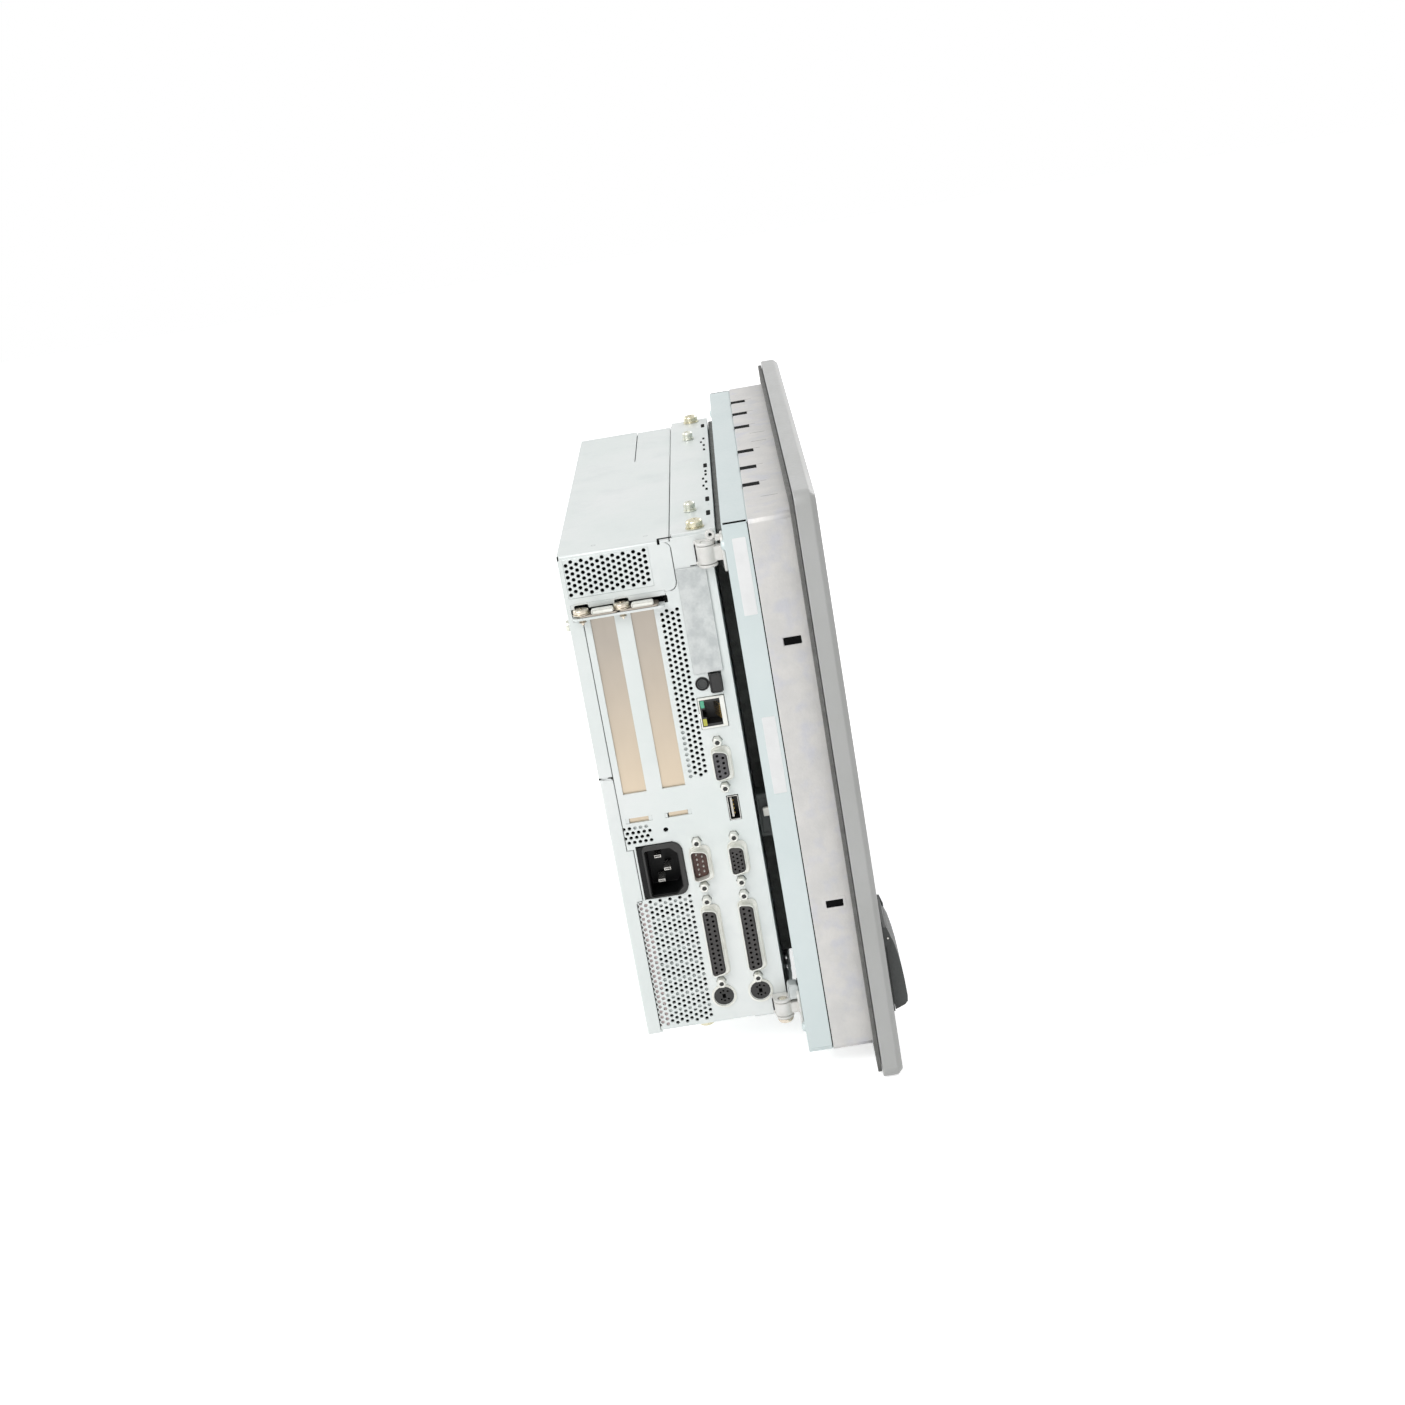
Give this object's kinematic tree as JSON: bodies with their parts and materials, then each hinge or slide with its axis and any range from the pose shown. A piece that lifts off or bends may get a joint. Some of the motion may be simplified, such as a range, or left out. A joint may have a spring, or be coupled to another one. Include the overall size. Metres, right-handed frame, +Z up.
{
  "type": "industrial pc",
  "caption": "Industrial panel computer: flat touch-screen front with a sealing rim and cast housing, and a sheet-metal computer unit with ports on its side, hinged on its back.",
  "frame": {"origin": "centre of the panel cut-out, on the plane of the front bezel's rear face", "axes": "+X to the operator's right, +Y to the rear through the cut-out, +Z up"},
  "size_m": [0.4, 0.1399, 0.31],
  "materials": {
    "front_enamel": "grey enamel, satin",
    "front_film": "fine texture, matte",
    "gasket_rubber": "matte",
    "screen_glass": "dark when off",
    "display_body": "metal-faced module",
    "carrier_sheet": "zinc-plated",
    "inverter_board": "circuit board",
    "cast_aluminium": "bare die casting, mottled",
    "frame_sheet": "smooth",
    "port_plastic": "textured",
    "pin_steel": "bright",
    "connector_shell": "tin plate",
    "hinge_block": "warm white",
    "case_sheet": "zinc-like, smooth",
    "zinc_screw": "yellow passivated",
    "slot_steel": "bright",
    "bare_sheet": "matte",
    "black_plastic": "moulded",
    "circuit_board": "solder mask",
    "supply_case": "box of sheet, filled with air and parts",
    "disk_case": "cast",
    "sink_aluminium": "extruded"
  },
  "bodies": {
    "operator_unit": {"front_bezel": "front_enamel", "front_film": "front_film", "panel_gasket": "gasket_rubber", "touch_screen": "screen_glass", "display_panel": "display_body", "display_carrier": "carrier_sheet", "backlight_inverter": "inverter_board", "cast_housing": "cast_aluminium", "rear_frame": "frame_sheet", "port_frame": "port_plastic", "port_cover_pin": "pin_steel", "front_usb_socket": "connector_shell", "upper_hinge_bracket": "hinge_block", "lower_hinge_bracket": "hinge_block"},
    "port_cover": {"front_port_cover": "port_plastic"},
    "computer_unit": {"chassis": "case_sheet", "port_panel": "case_sheet", "top_cover": "case_sheet", "drive_bay_cover": "case_sheet", "rear_cover": "case_sheet", "top_rail": "case_sheet", "bottom_rail": "case_sheet", "rail_screw_left": "zinc_screw", "rail_screw_right": "zinc_screw", "rail_screw_inner_left": "zinc_screw", "rail_screw_inner_right": "zinc_screw", "top_cover_screw": "zinc_screw", "bottom_screw": "zinc_screw", "upper_hinge_leaf": "case_sheet", "lower_hinge_leaf": "case_sheet", "upper_hinge_pin": "zinc_screw", "lower_hinge_pin": "zinc_screw", "slot_cover_1": "slot_steel", "slot_cover_2": "slot_steel", "slot_screw_1": "zinc_screw", "slot_screw_2": "zinc_screw", "bus_socket": "connector_shell", "com2_plug": "connector_shell", "vga_socket": "connector_shell", "com1_socket": "connector_shell", "lpt_socket": "connector_shell", "usb_socket": "connector_shell", "ethernet_socket": "connector_shell", "mouse_socket": "black_plastic", "keyboard_socket": "black_plastic", "power_inlet": "black_plastic", "card_slot_cover": "bare_sheet", "card_cage": "bare_sheet", "captive_screw_upper": "zinc_screw", "captive_screw_lower": "zinc_screw", "motherboard": "circuit_board", "riser_card": "circuit_board", "power_supply": "supply_case", "hard_disk": "disk_case", "disk_tray": "bare_sheet", "cpu_heatsink": "sink_aluminium", "fan_frame": "black_plastic"},
    "card_eject": {"card_eject_button": "black_plastic"},
    "reset": {"reset_button": "black_plastic"},
    "fan": {"fan_rotor": "black_plastic"}
  },
  "joints": [
    {"name": "computer_hinge", "type": "hinge", "parent": "operator_unit", "child": "computer_unit", "pos_m": [-0.163, 0.0453, 0], "axis": [0, 0, 1], "range_deg": [0, 90]},
    {"name": "port_cover_hinge", "type": "hinge", "parent": "operator_unit", "child": "port_cover", "pos_m": [-0.171, -0.0129, -0.0805], "axis": [-1, 0, 0], "range_deg": [0, 95]},
    {"name": "card_eject_slide", "type": "slide", "parent": "computer_unit", "child": "card_eject", "axis": [1, 0, 0], "range_m": [0, 0.0026]},
    {"name": "reset_slide", "type": "slide", "parent": "computer_unit", "child": "reset", "axis": [1, 0, 0], "range_m": [0, 0.0008], "stiffness_N_per_m": 500, "springref_m": -0.0005},
    {"name": "fan_spin", "type": "hinge", "parent": "computer_unit", "child": "fan", "pos_m": [0.124, 0.083, -0.067], "axis": [1, 0, 0], "continuous": true}
  ]
}
